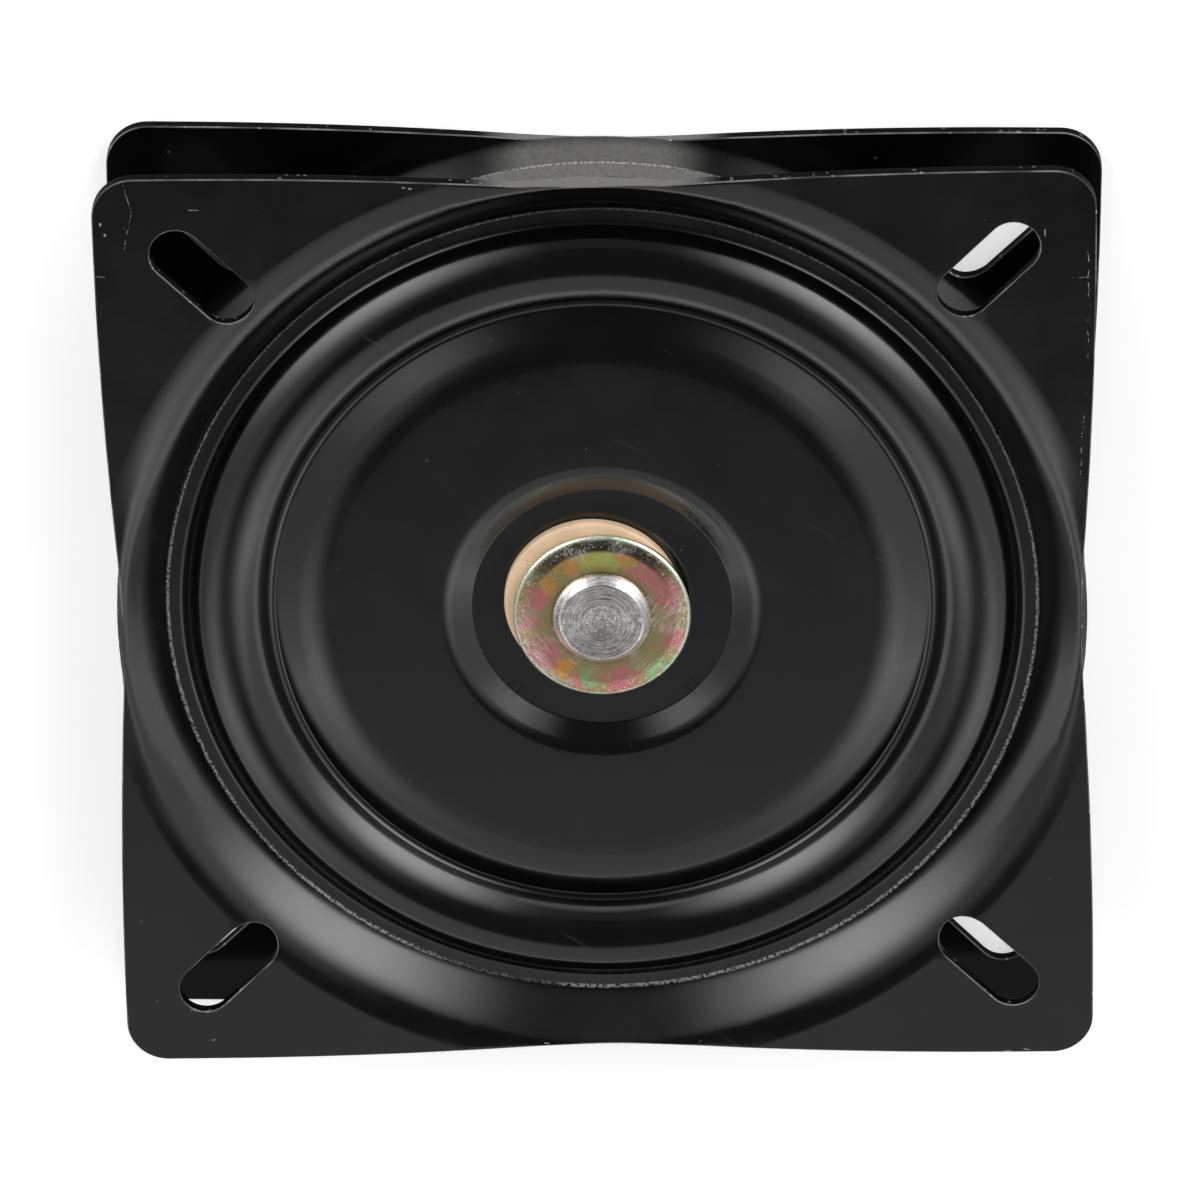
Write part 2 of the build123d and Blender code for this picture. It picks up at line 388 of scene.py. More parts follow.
def coated_steel(name, settings, marks, gloss, sheen_share):
    """Smooth black coat with faint peel, dust, rubbed lines and its own scratches, a painted glint
    in the crease, and, by share, a painted sheen and a painted highlight arc on the wall.
    """
    net = fresh_material(name)
    at = net.place()
    peel = net.use(orange_peel, at, Scale=520.0, Waves=0.8)
    dust = net.use(specks, at, Scale=420.0, Share=0.06, Size=0.16)
    rubbed = net.use(fine_scratches, at, Scale=700.0, Heading=0.5, Coverage=0.12)

    # The sharp crease round the pressing is rubbed and rough. It also carries a painted highlight:
    # grainy glints in the worn colour, painted stronger on the -Y half.
    radius, parts = net.radius(at), net.parts(at)
    glint = net.ease(net.grain(at, 1900.0, 3.0, 0.7), 0.42, 0.58)
    spread = net.ease(net.grain(at, 30.0), 0.36, 0.56)
    near_half = net.ease(parts["Y"], -20 * MM, 45 * MM, 1.0, 0.25)
    crease_rub_and_glint = net.near(radius, CREASE_RADIUS, 0.12 * MM, 0.42 * MM)
    crease_rub_and_glint = net.times(crease_rub_and_glint, glint, near_half)
    # worn holds this painted crease glint together with the real scratches and chips added below.
    worn = net.calc("MULTIPLY", crease_rub_and_glint, net.plus(0.35, spread), clamp=True)

    sway, crumble = net.sway(at, 260.0), net.grain(at, 1500.0, 2.0, 0.7)
    for start, end, up, width, ragged in marks:
        start, end = ([part * MM for part in (*place, up)] for place in (start, end))
        worn = net.most(worn, net.use(single_mark, at, From=start, To=end, Width=width * MM,
                                      Ragged=ragged, Sway=sway, Crumble=crumble))

    # Painted highlight: on the wall near the middle of each side the coat is painted grey and
    # grainy, a painted sheen standing for the light the wall catches there, and it is also made
    # rougher.
    off_side = net.calc("MINIMUM", net.calc("ABSOLUTE", parts["X"]),
                        net.calc("ABSOLUTE", parts["Y"]))
    inner = net.times(net.fade(radius, 84.1 * MM, 84.4 * MM), net.fade(off_side, 17 * MM, 30 * MM))
    outer = net.times(net.fade(radius, 86.2 * MM, 88.6 * MM, 0.8),
                      net.fade(off_side, 11 * MM, 22 * MM))
    skin_grain = net.ease(net.grain(at, 1300.0, 3.0, 0.7), 0.3, 0.62, 0.75, 1.0)
    painted_sheen_patch = net.times(net.most(inner, outer), net.ease(radius, 79.0 * MM, 79.5 * MM), sheen_share,
                      skin_grain)
    # Painted highlight: a thin bright arc laid over the painted sheen of the wall.
    arc = net.near(radius, HIGHLIGHT_ARC_RADIUS, 0.04 * MM, 0.16 * MM)
    color = net.layers(
        settings.coat_color, (net.times(dust, 0.5), (0.11, 0.11, 0.105, 1.0)),
        (net.times(rubbed, 0.05), (0.2, 0.2, 0.2, 1.0)),
        (net.times(worn, 0.75), settings.worn_color), (painted_sheen_patch, (0.20, 0.197, 0.193, 1.0)),
        (net.times(arc, painted_sheen_patch, glint), (0.7, 0.69, 0.68, 1.0)))

    rough = settings.coat_roughness
    rough = net.ease(net.grain(at, 70.0, 3.0, 0.6), 0.25, 0.75, rough - 0.03, rough + 0.04)
    rough = net.plus(rough, net.times(worn, 0.2), net.times(painted_sheen_patch, 0.3), net.times(rubbed, 0.08))
    net.fill(net.shader["IOR"], gloss)
    return finish(net, color, rough, peel, 0.0025 * MM)


def sheared_rim(name, settings, amount, stripes, bare=0.0, edge_sheen=0.0):
    """The cut edge of the sheet: coat over torn steel, rubbed through on its corners, and by share
    a painted grey sheen at the middle of each side, most on the +Y side.
    """
    net = fresh_material(name)
    at = net.place()
    rub = net.use(rim_rub, at, Scale=900.0, Amount=amount)
    burrs = net.use(specks, at, Scale=900.0, Share=0.35, Size=0.45)
    torn = net.grain(net.vector("MULTIPLY", at, (1.0, 1.0, 0.12)), 1400.0, 3.0, 0.6)
    worn = net.most(rub, net.times(burrs, stripes))
    thinned = net.ease(net.grain(at, 90.0), 0.36, 0.64, bare * 0.3, bare)
    color = net.blend(thinned, settings.coat_color, settings.worn_color)
    # Painted highlight: the cut edge near the middle of each side is painted grey, most on the +Y
    # side.
    if edge_sheen:
        near = net.times(net.fade(net.radius(at), 88.2 * MM, 90.6 * MM, edge_sheen),
                         net.ease(net.parts(at)["Y"], 40 * MM, 80 * MM, 0.3, 1.0))
        color = net.blend(near, color, (0.36, 0.355, 0.35, 1.0))
    color = net.blend(worn, color, settings.worn_color)
    rough = net.plus(settings.coat_roughness + 0.15, net.times(torn, 0.3))
    net.fill(net.shader["IOR"], 1.05)
    return finish(net, color, rough, net.plus(torn, worn), 0.03 * MM, net.times(worn, 0.55))


# Tinted patches of the zinc washer: place and size in millimetres, and the tint.
ZINC_PATCHES = (
    (-1.2, 11.6, 3.4, "yellow"), (1.6, 11.4, 2.2, "yellow"), (-6.4, 10.6, 1.8, "orange"),
    (4.4, 11.2, 1.9, "orange"), (-10.4, 6.8, 2.1, "orange"), (-11.7, 3.9, 2.0, "pink"),
    (7.6, 7.8, 2.9, "pink"), (11.6, 4.2, 2.8, "pink"), (-13.4, -1.0, 2.3, "pink"),
    (-12.8, -3.1, 1.2, "orange"), (-9.9, -7.4, 3.3, "pink"), (-7.3, -10.7, 1.8, "orange"),
    (-5.2, -13.0, 1.6, "pink"), (3.0, -12.4, 3.0, "pink"), (12.6, -4.6, 2.4, "pink"),
    (9.8, -10.5, 1.9, "green"), (-2.6, -12.0, 1.6, "green"), (-13.6, 8.6, 1.3, "green"),
)


def yellow_zinc(settings):
    """Zinc plating with a yellow passivate: gold, pink, orange and green over fine grain."""
    net = fresh_material("yellow_zinc")
    at = net.place()
    radius, parts = net.radius(at), net.parts(at)
    drift = net.vector("MULTIPLY", net.sway(at, 330.0, 3.0, 0.62), (9.0 * MM, 9.0 * MM, 0.0))
    drifted = net.vector("ADD", net.vector("MULTIPLY", at, (1.0, 1.0, 0.0)), drift)
    color = settings.zinc_gold
    for across, up, size, tint in ZINC_PATCHES:
        gap = net.vector("DISTANCE", drifted, (across * MM, up * MM, 0.0), result="Value")
        share = net.fade(gap, size * 0.4 * MM, size * 1.55 * MM)
        color = net.blend(share, color, getattr(settings, "zinc_" + tint))

    # The tint is thin and brown round the rivet, with painted shade darkening it further in the
    # crevice next to the rivet head, and pale green where the edge rolls over.
    hue = net.grain(at, 520.0, 3.0, 0.6)
    pale = net.blend(net.ease(hue, 0.44, 0.56), (0.62, 0.88, 0.62, 1.0), (0.88, 0.80, 0.76, 1.0))
    color = net.layers(
        color, (net.ease(hue, 0.55, 0.68, 0.0, 0.35), settings.zinc_orange),
        (net.ease(hue, 0.45, 0.33, 0.0, 0.35), settings.zinc_green),
        (net.fade(radius, 9.6 * MM, 11.0 * MM, 0.85), (0.48, 0.38, 0.18, 1.0)),
        (net.fade(radius, 8.8 * MM, 9.7 * MM, 0.75), (0.16, 0.13, 0.08, 1.0)),
        (net.ease(radius, 15.2 * MM, 15.8 * MM), pale))

    # Painted reflection: the far part of the roll is painted dark, standing for the dark it
    # mirrors.
    upward = net.calc("DIVIDE", parts["Y"], radius)
    painted_dark_reflection = net.times(net.ease(radius, 12.9 * MM, 13.7 * MM), net.fade(radius, 15.0 * MM, 15.5 * MM),
                     net.ease(upward, 0.35, 0.85), 0.9)

    # Rumbling with other washers has scratched and pitted it, most of all on the rolled edge.
    falling = net.use(fine_scratches, at, Scale=5200.0, Heading=0.87, Coverage=0.75,
                      Shortness=0.045)
    rising = net.use(fine_scratches, at, Scale=5400.0, Heading=-0.9, Coverage=0.7,
                     Shortness=0.05)
    lines = net.most(net.times(falling, net.ease(parts["X"], -2 * MM, 9 * MM, 1.0, 0.15)),
                     net.times(rising, net.ease(parts["X"], -9 * MM, 2 * MM, 0.15, 1.0)))
    on_roll = net.ease(radius, 12.7 * MM, 14.4 * MM)
    fine = net.grain(at, 4600.0, 2.0, 0.7)
    nicks = net.use(specks, at, Scale=2100.0, Share=0.42, Size=0.6)

    def worn(mask, flat, roll):
        return net.times(mask, net.plus(flat, net.times(on_roll, roll)))

    bright = net.most(worn(net.ease(fine, 0.58, 0.66), 0.25, 0.6), net.times(lines, 0.7))
    color = net.layers(
        color, (painted_dark_reflection, (0.03, 0.027, 0.022, 1.0)), (bright, (0.92, 0.90, 0.86, 1.0)),
        (worn(nicks, 0.12, 0.6), (0.90, 0.93, 0.86, 1.0)),
        (worn(net.ease(fine, 0.46, 0.36), 0.25, 0.5), (0.10, 0.085, 0.06, 1.0)))
    rough = net.less(net.ease(fine, 0.3, 0.7, 0.34, 0.24), net.times(on_roll, 0.10))
    height = worn(net.plus(fine, net.times(lines, 0.25)), 1.0, 1.4)
    return finish(net, color, rough, height, 0.03 * MM, 1.0)


def peened_steel(settings):
    """Bare steel of the rivet, with tool rings, crushed bright grains and dull patches."""
    net = fresh_material("peened_steel")
    at = net.place()
    rings = net.use(ring_marks, at, Spacing=0.42 * MM, Wobble=0.5 * MM)
    crush = net.grain(at, 2300.0, 3.0, 0.75)
    cloud = net.grain(at, 420.0, 3.0, 0.6)
    dull = [part * 0.5 for part in settings.steel_color[:3]] + [1.0]

    # The punch has crushed the middle into bright grains in a darker dish.
    dish = net.fade(net.radius(at), 2.6 * MM, 4.0 * MM, 0.85)
    sparkle = net.times(net.ease(crush, 0.53, 0.62), net.plus(0.15, dish))
    color = net.layers(
        settings.steel_color, (net.ease(cloud, 0.36, 0.66, 0.0, 0.5), dull),
        (net.ease(rings, 0.50, 0.38, 0.0, 0.65), dull),
        (net.ease(crush, 0.47, 0.36, 0.0, 0.6), (0.20, 0.195, 0.19, 1.0)),
        (net.times(dish, 0.45), (0.30, 0.295, 0.28, 1.0)), (sparkle, (1.0, 0.99, 0.97, 1.0)))
    height = net.plus(net.times(rings, 2.0), net.times(crush, net.plus(0.12, dish)))
    return finish(net, color, net.ease(crush, 0.3, 0.7, 0.36, 0.2), height, 0.07 * MM, 1.0)


def moulded_nylon(name, settings):
    """Cream nylon with faint clouding and a satin skin."""
    net = fresh_material(name)
    at = net.place()
    cloud = net.grain(at, 180.0, 3.0, 0.6)
    rubbed = net.use(fine_scratches, at, Scale=1500.0, Heading=0.2, Coverage=0.4)
    grime = net.use(specks, at, Scale=900.0, Share=0.05, Size=0.3)
    peel = net.use(orange_peel, at, Scale=1400.0, Waves=0.5)
    pale = [min(1.0, part * 1.1 + 0.01) for part in settings.nylon_color[:3]] + [1.0]
    color = net.layers(
        settings.nylon_color, (net.ease(cloud, 0.35, 0.65), pale),
        (net.times(rubbed, 0.2), (0.55, 0.36, 0.2, 1.0)),
        (net.times(grime, 0.7), (0.2, 0.13, 0.08, 1.0)))
    return finish(net, color, net.ease(cloud, 0.3, 0.7, 0.36, 0.5), peel, 0.008 * MM)


def bearing_steel():
    """Polished balls with a thin film of grease that carries a little dust."""
    net = fresh_material("bearing_steel")
    at = net.place()
    film = net.grain(at, 300.0, 3.0, 0.6)
    grit = net.use(specks, at, Scale=1500.0, Share=0.12, Size=0.3)
    lines = net.use(fine_scratches, at, Scale=2400.0, Heading=0.9, Coverage=0.3)
    color = net.layers(
        (0.72, 0.72, 0.73, 1.0), (net.ease(film, 0.4, 0.7), (0.52, 0.49, 0.44, 1.0)),
        (net.times(grit, 0.6), (0.12, 0.11, 0.10, 1.0)))
    return finish(net, color, net.ease(film, 0.35, 0.7, 0.08, 0.26), lines, 0.003 * MM, 1.0)


# -------- mesh helpers

def fresh_object(name, mesh):
    old = bpy.data.objects.get(name)
    if old:
        bpy.data.objects.remove(old, do_unlink=True)
    made = bpy.data.objects.new(name, mesh)
    bpy.context.scene.collection.objects.link(made)
    return made


def finished_mesh(name, work):
    """The mesh of what was built, its faces turned outwards and shaded smooth."""
    bmesh.ops.recalc_face_normals(work, faces=work.faces)
    for face in work.faces:
        face.smooth = True
    mesh = bpy.data.meshes.new(name)
    work.to_mesh(mesh)
    work.free()
    return mesh


def rounded_line(corners, turn_step=4.0, run_step=2.6, arc_step=0.8):
    """Points along a line of corners (across, up, bend) in millimetres, its bends rounded,
    each with the direction square to the line there, given back in metres."""
    points = [Vector(corner[:2]) for corner in corners]
    line = []

    def run(start, end):
        way = end - start
        if way.length < 1e-6:
            return
        side = Vector((-way.y, way.x)).normalized()
        steps = max(1, ceil(way.length / run_step))
        line.extend((start + way * step / steps, side) for step in range(steps + 1))

    last = points[0]
    for before, corner, after, (_, _, bend) in zip(points, points[1:], points[2:], corners[1:]):
        way_in = (corner - before).normalized()
        way_out = (after - corner).normalized()
        turn = way_in.angle_signed(way_out)
        radius, swing, hand = abs(bend), abs(turn), 1.0 if turn < 0 else -1.0
        if radius == 0.0:
            run(last, corner)
            last = corner
            continue
        reach = radius * tan(swing / 2)
        first = corner - way_in * reach
        run(last, first)
        middle = first + Vector((-way_in.y, way_in.x)) * hand * radius
        finest = min(degrees(swing) / turn_step, swing * radius / arc_step * 2.0)
        steps = max(3, ceil(max(degrees(swing) / 10.0, finest)))
        for step in range(1, steps):
            spoke = Matrix.Rotation(hand * swing * step / steps, 2) @ (first - middle)
            line.append((middle + spoke, -spoke.normalized() * hand))
        last = corner + way_out * reach
    run(last, points[-1])
    kept = [line[0]]
    for point, side in line[1:]:
        if (point - kept[-1][0]).length > 1e-5:
            kept.append((point, side))
    return [(point * MM, side) for point, side in kept]


def turned_mesh(name, line, columns, closed, shift=(0.0, 0.0), lift=None):
    """A mesh turned round the Z axis from a rounded line, closed like a washer or running
    from axis to axis like a rivet. lift moves each point after the turning."""
    work = bmesh.new()
    rings = []
    for across, up in (point for point, side in line):
        if across < 1e-7:
            rings.append([work.verts.new((*shift, up))])
            continue
        ring = []
        for column in range(columns):
            angle = 2 * pi * column / columns
            point = Vector((across * cos(angle), across * sin(angle), up))
            if lift:
                point = lift(point)
            ring.append(work.verts.new(point + Vector((*shift, 0.0))))
        rings.append(ring)
    if closed:
        rings.append(rings[0])
    for low, high in zip(rings, rings[1:]):
        for column in range(columns):
            onward = (column + 1) % columns
            corners = dict.fromkeys((low[column % len(low)], low[onward % len(low)],
                                     high[onward % len(high)], high[column % len(high)]))
            if len(corners) > 2:
                work.faces.new(list(corners))
    return finished_mesh(name, work)


def dress(name, mesh, body, node_name, slot, *materials):
    """Makes a piece of the mesh that rides on its body in place of a node of the frame."""
    piece = fresh_object(name, mesh)
    for material in materials:
        mesh.materials.append(material)
    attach(piece, body)
    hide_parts(node_name)
    return piece


# -------- the pressed plates

def soft_share(value, low, high):
    """A soft step from 0 to 1 while value runs from low to high."""
    share = min(1.0, max(0.0, (value - low) / (high - low)))
    return share * share * (3 - 2 * share)


def side_line(along):
    """Distance of a drawn-in side from the middle of the plate, at a distance along it."""
    along = abs(along)
    steepest = 2 * SIDE_DRAWN_IN / SIDE_ARC_ENDS
    middle_arc = MIDDLE_ARC_ENDS / steepest
    side_arc = (SIDE_ARC_ENDS - MIDDLE_ARC_ENDS) / steepest
    if along >= SIDE_ARC_ENDS:
        return HALF_SIDE
    if along >= MIDDLE_ARC_ENDS:
        return HALF_SIDE - side_arc + sqrt(side_arc ** 2 - (SIDE_ARC_ENDS - along) ** 2)
    meet = HALF_SIDE - (SIDE_ARC_ENDS - MIDDLE_ARC_ENDS) ** 2 / (2 * side_arc)
    centre = meet + sqrt(middle_arc ** 2 - MIDDLE_ARC_ENDS ** 2)
    return centre - sqrt(middle_arc ** 2 - along ** 2)


def side_reach(angle):
    """Distance from the axis to the side, along a spoke near the side's middle."""
    across = HALF_SIDE
    for _ in range(12):
        across = side_line(across * tan(angle))
    return across / cos(angle)


def ear_starts():
    """Angle from a side's middle at which the outline leaves the rolled wall."""
    low, high = 0.0, radians(30)
    for _ in range(40):
        middle = (low + high) / 2
        if side_reach(middle) < EAR_RING:
            low = middle
        else:
            high = middle
    return (low + high) / 2


def slot_window():
    """Half angle over which a slot's inner end cuts into the wall's ring."""
    share = SLOT_INNER ** 2 + EAR_RING ** 2 - SLOT_HALF_WIDTH ** 2
    return acos(min(1.0, share / (2 * SLOT_INNER * EAR_RING)))


def spokes():
    """Each spoke of the plate as (angle, how far the turned part reaches, where it lies)."""
    start, window, diagonal = ear_starts(), slot_window(), radians(45)
    quarter = []
    for step in range(SIDE_SPOKES):
        angle = start * (2 * step / SIDE_SPOKES - 1)
        quarter.append((angle, side_reach(angle) if step else EAR_RING, "side"))
    span = diagonal - window - start
    ears = [span * step / EAR_SPOKES for step in range(EAR_SPOKES)]
    quarter += [(start + angle, EAR_RING, "ear") for angle in ears]
    for step in range(SLOT_SPOKES):
        angle = -window * cos(pi * step / SLOT_SPOKES)
        reach = EAR_RING
        if step:
            half = sqrt(SLOT_HALF_WIDTH ** 2 - (SLOT_INNER * sin(angle)) ** 2)
            reach = SLOT_INNER * cos(angle) - half
        quarter.append((diagonal + angle, reach, "slot"))
    quarter += [(diagonal + window + angle, EAR_RING, "ear") for angle in ears]
    return [(angle + turn * pi / 2, reach, where)
            for turn in range(4) for angle, reach, where in quarter]


def wall_height(across, bend, sheet, skin):
    """Height of the wall and the ear at a distance from the axis, on the seat's face for
    skin 0 and on the other face for skin 1."""
    foot_across, foot_up = PRESSING[-3][0] * MM, PRESSING[-3][1] * MM
    centre = PRESSING[-2][0] * MM + bend * tan(WALL_ANGLE / 2)
    radius = bend - sheet * skin
    if across >= centre:
        return -bend + radius
    if across >= centre - radius * sin(WALL_ANGLE):
        return -bend + sqrt(radius ** 2 - (centre - across) ** 2)
    return foot_up + (across - foot_across) * tan(WALL_ANGLE) - sheet * skin / cos(WALL_ANGLE)


def rim_height(across, angle, sheet, skin):
    """Height of the rim on a spoke: a tight bend by the sides and a soft one by the corners."""
    off_side = abs((angle + pi / 4) % (pi / 2) - pi / 4)
    share = soft_share(off_side, *BEND_GROWS)
    tight = wall_height(across, SIDE_BEND, sheet, skin)
    soft = wall_height(across, CORNER_BEND, sheet, skin)
    flat = soft_share(across, EAR_BLEND_FROM, EAR_RING)
    return (tight + (soft - tight) * share) * (1 - flat) - sheet * skin * flat


def slot_path(turn):
    """The part of a slot's edge outside the wall's ring, from its far crossing to the near one."""
    crossing = asin(EAR_RING * sin(slot_window()) / SLOT_HALF_WIDTH)
    end = SLOT_HALF_LENGTH - SLOT_HALF_WIDTH
    path = []
    for step in range(1, 7):
        swing = crossing + (pi / 2 - crossing) * step / 6
        path.append((-end - SLOT_HALF_WIDTH * cos(swing), SLOT_HALF_WIDTH * sin(swing)))
    back = [(along, -across) for along, across in reversed(path)]
    for step in range(17):
        swing = pi / 2 - pi * step / 16
        path.append((end + SLOT_HALF_WIDTH * cos(swing), SLOT_HALF_WIDTH * sin(swing)))
    way = Matrix.Rotation(radians(45) + turn * pi / 2, 2)
    return [way @ Vector((SLOT_REACH + along, across)) for along, across in path + back]


def ear_path(turn):
    """The outline of one ear, from where it leaves the wall's ring round the corner to it again."""
    first = EAR_RING * sin(ear_starts())
    stops = [first + (SIDE_ARC_ENDS - first) * step / 9 for step in range(1, 10)]
    half = [Vector((side_line(stop), stop)) for stop in stops]
    corner = HALF_SIDE - CORNER_RADIUS
    arc = [Vector((corner + CORNER_RADIUS * cos(swing), corner + CORNER_RADIUS * sin(swing)))
           for swing in (pi / 2 * step / 12 for step in range(13))]
    back = [Vector((point.y, point.x)) for point in reversed(half)]
    way = Matrix.Rotation(turn * pi / 2, 2)
    return [way @ point for point in half + arc + back]


def pressed_plate_mesh(name, sheet):
    """One pressing, its ears at height 0, as a closed skin on both faces of the sheet."""
    seat_side = rounded_line(PRESSING)
    spoke_list = spokes()
    work = bmesh.new()
    skins = []
    for skin, first in enumerate(WALL_ROWS_FROM):
        inner = [(point.x - side.x * sheet * skin, point.y - side.y * sheet * skin)
                 for point, side in seat_side]
        inner = [point for point in inner if point[0] < first - 0.1 * MM]
        columns = []
        for angle, reach, where in spoke_list:
            if skin and where == "side":
                # The cut edge stands out below, nearly square to the sloping sheet.
                step = 0.1 * MM
                rise = rim_height(reach, angle, sheet, 0)
                rise -= rim_height(reach - step, angle, sheet, 0)
                reach += sheet * EDGE_LEAN * sin(atan(rise / step))
            rows = [first + (reach - first) * row / (WALL_ROWS - 1) for row in range(WALL_ROWS)]
            line = inner + [(across, rim_height(across, angle, sheet, skin)) for across in rows]
            columns.append([work.verts.new((across * cos(angle), across * sin(angle), up))
                            for across, up in line])
        skins.append(columns)

    def wall(above, below, material):
        for index in range(len(above) - 1):
            face = work.faces.new((above[index], above[index + 1], below[index + 1], below[index]))
            face.material_index = material

    count = len(spoke_list)
    for index in range(count):
        pair = [(columns[index], columns[(index + 1) % count]) for columns in skins]
        for here, onward in pair:
            wall(here, onward, 0)
        above, below = ([column[0] for column in columns] for columns in pair)
        wall(above, below, RIM)
        above, below = ([column[-1] for column in columns] for columns in pair)
        where = spoke_list[index][2]
        if where != "ear":
            wall(above, below, DRAWN_RIM if where == "side" else RIM)

    for turn in range(4):
        ear = turn * count // 4 + SIDE_SPOKES
        slot_in = ear + EAR_SPOKES
        slot_out = slot_in + SLOT_SPOKES
        ear_out = slot_out + EAR_SPOKES
        edges = []
        for level, columns in zip((0.0, -sheet), skins):
            ring = [column[-1] for column in columns]
            outer = [work.verts.new((*point, level)) for point in ear_path(turn)]
            slot = [work.verts.new((*point, level)) for point in slot_path(turn)]
            far = [ring[index % count] for index in range(ear_out, slot_out - 1, -1)]
            near = [ring[index % count] for index in range(slot_in, ear - 1, -1)]
            work.faces.new([near[-1]] + outer + far + slot + near[:-1])
            edges.append(([near[-1]] + outer + [far[0]], [far[-1]] + slot + [near[0]]))
        for above, below in zip(*edges):
            wall(above, below, RIM)
    return finished_mesh(name, work)


def finish_plate(piece, rim_round):
    bevel = piece.modifiers.new("Rounded rims", "BEVEL")
    bevel.width = rim_round
    bevel.segments = 2
    bevel.limit_method = "ANGLE"
    bevel.angle_limit = radians(50)
    bevel.use_clamp_overlap = False
    bevel.material = RUBBED_RIM
    weighted = piece.modifiers.new("Even shading", "WEIGHTED_NORMAL")
    weighted.weight = 50


# Scratches and chips of each plate: start, end, height, width, in millimetres, and raggedness.
UPPER_MARKS = (
    ((-83.2, 88.7), (-81.9, 82.8), 22.5, 0.16, 0.75),
    ((-81.9, 82.8), (-83.4, 75.5), 22.5, 0.14, 0.85),
    ((-87.4, 81.1), (-86.3, 78.4), 22.5, 0.9, 0.99),
    ((-71.7, 83.2), (-70.1, 83.0), 22.5, 0.16, 0.4),
    ((-88.8, 70.3), (-87.0, 70.2), 22.5, 0.15, 0.6),
    ((-33.6, 87.0), (-30.9, 86.9), 22.5, 0.5, 0.95),
    ((-15.1, 24.0), (-14.3, 25.4), 17.3, 0.16, 0.8),
    ((-73.2, -85.1), (-72.8, -84.9), 22.5, 0.3, 0.7),
    ((-77.9, -78.5), (-73.0, -79.3), 22.5, 0.4, 0.97),
    ((87.5, 74.5), (87.5, 52.0), 22.5, 0.35, 0.99),
    ((87.1, 46.5), (86.2, 29.0), 22.5, 0.30, 0.985),
    ((84.2, 68.2), (87.9, 68.3), 22.5, 0.12, 0.9),
    ((80.0, 77.6), (79.9, 76.1), 22.5, 0.3, 0.7),
    ((72.6, -88.7), (73.8, -88.7), 22.5, 0.35, 0.7),
    ((76.1, -88.5), (77.5, -88.7), 22.5, 0.4, 0.7),
    ((-12.0, -86.3), (-9.2, -86.3), 22.5, 0.3, 0.8),
    ((66.9, 50.2), (69.2, 47.2), 20.1, 0.09, 0.8),
)
LOWER_MARKS = (
    ((-25.1, 82.3), (-18.8, 82.3), 2.5, 0.12, 0.8),
    ((22.3, 81.8), (29.4, 81.7), 2.5, 0.14, 0.8),
)


class SWIVEL_OT_press_plates(bpy.types.Operator):
    """Press the upper and the lower plate and coat them"""
    bl_idname = "swivel.press_plates"
    bl_label = "Pressed Plates"

    def execute(self, context):
        settings = context.scene.swivel_plates
        wear = settings.rim_wear
        rims = (sheared_rim("sheared_edge", settings, wear * 0.5, 0.3),
                sheared_rim("rubbed_rim", settings, wear, 0.9, bare=0.5),
                sheared_rim("drawn_edge", settings, wear * 0.7, 0.3, edge_sheen=0.5))
        lift = Matrix.Translation((0.0, 0.0, TOP_FACE))
        turn = Matrix.Rotation(LOWER_PLATE_TURN, 4, "Z") @ Matrix.Rotation(pi, 4, "X")
        # The lower plate gets the painted grey sheen on its wall near the middle of each side; the
        # upper one gets none.
        for name, body, node_name, marks, gloss, sheen_share, way in (
                ("upper", "seat_side", "top_plate", UPPER_MARKS, 1.7, 0.0, lift),
                ("lower", "base", "bottom_plate", LOWER_MARKS, 1.33, 0.85, turn)):
            coat = coated_steel("black_coat_" + name, settings, marks, gloss, sheen_share)
            mesh = pressed_plate_mesh(name + "_plate_skin", settings.sheet)
            mesh.transform(way)
            plate = dress(name + "_plate", mesh, body, node_name, "black_coated_steel", coat, *rims)
            finish_plate(plate, settings.rim_round)
        return {"FINISHED"}


# -------- the pivot

class SWIVEL_OT_peen_rivet(bpy.types.Operator):
    """Turn the centre rivet and hammer its upper head"""
    bl_idname = "swivel.peen_rivet"
    bl_label = "Centre Rivet"

    def execute(self, context):
        settings = context.scene.swivel_pivot
        low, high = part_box("pivot_rivet")
        top = high.z / MM
        line = rounded_line([
            (0.0, low.z / MM, 0.0), (11.2, 4.6, 0.5), (12.0, 5.4, 0.5), (12.0, 7.6, 0.0),
            (6.35, 7.6, 0.0), (6.35, 19.35, 0.0), (9.0, 19.35, 0.12), (8.85, 19.95, 0.6),
            (7.5, top, 0.75), (3.4, top - 0.1, 2.0), (1.3, top - 0.38, 1.2),
            (0.0, top - 0.42, 0.0)], run_step=0.35, arc_step=0.15)

        def hammered(point):
            if point.z < 19.6 * MM:
                return point
            across = hypot(point.x, point.y)
            rings = noise.noise(Vector((across / (0.55 * MM), point.x * 90, point.y * 90)))
            blows = noise.noise(Vector((point.x / (1.3 * MM), point.y / (1.3 * MM), 3.0)))
            sink = settings.hammer_depth * (0.9 + 0.6 * rings + 0.8 * blows)
            lean = 1.0 + 0.012 * noise.noise(Vector((point.x * 160, point.y * 160, 7.0)))
            return Vector((point.x * lean, point.y * lean, min(point.z - sink, high.z)))

        mesh = turned_mesh("peened_rivet_skin", line, 160, closed=False, lift=hammered)
        dress("peened_rivet", mesh, "base", "pivot_rivet", "bare_steel", peened_steel(settings))
        return {"FINISHED"}


